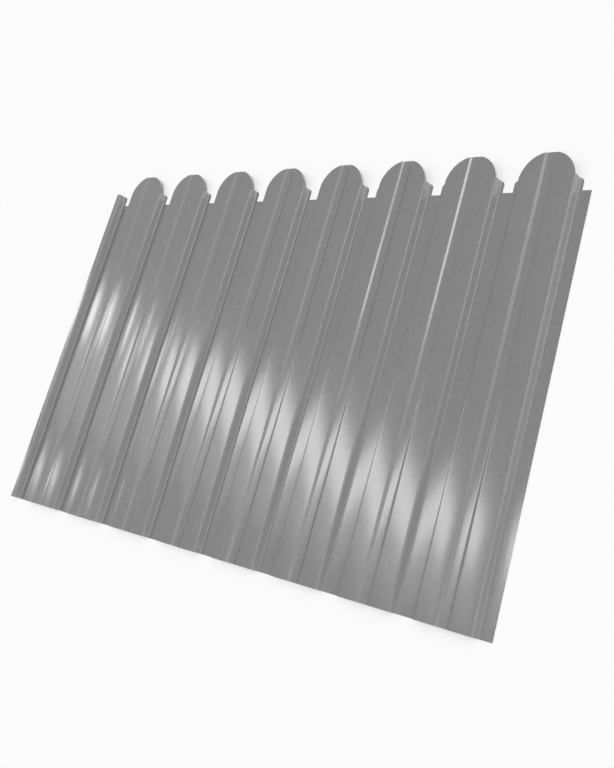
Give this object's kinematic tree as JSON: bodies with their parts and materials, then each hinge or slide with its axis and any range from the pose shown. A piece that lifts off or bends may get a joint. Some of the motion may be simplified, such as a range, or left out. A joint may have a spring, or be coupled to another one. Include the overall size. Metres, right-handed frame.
{
  "type": "corrugated metal sheet",
  "caption": "Rolled zinc-coated steel sheet with wide trapezoidal waves, a shallow groove along each crest, side laps, and one end cut to a row of domes and notches.",
  "frame": {"origin": "centre of the sheet's outline, on the plane that the undersides of the valleys rest on", "axes": "+X across the waves, towards the lap that ends in a valley; +Y along the waves, towards the domed end; +Z out of the crests"},
  "size_m": [1.1368, 0.7974, 0.0157],
  "materials": {
    "zinc_coated_steel": "satin"
  },
  "bodies": {
    "root": {"profiled_sheet": "zinc_coated_steel"}
  },
  "joints": []
}
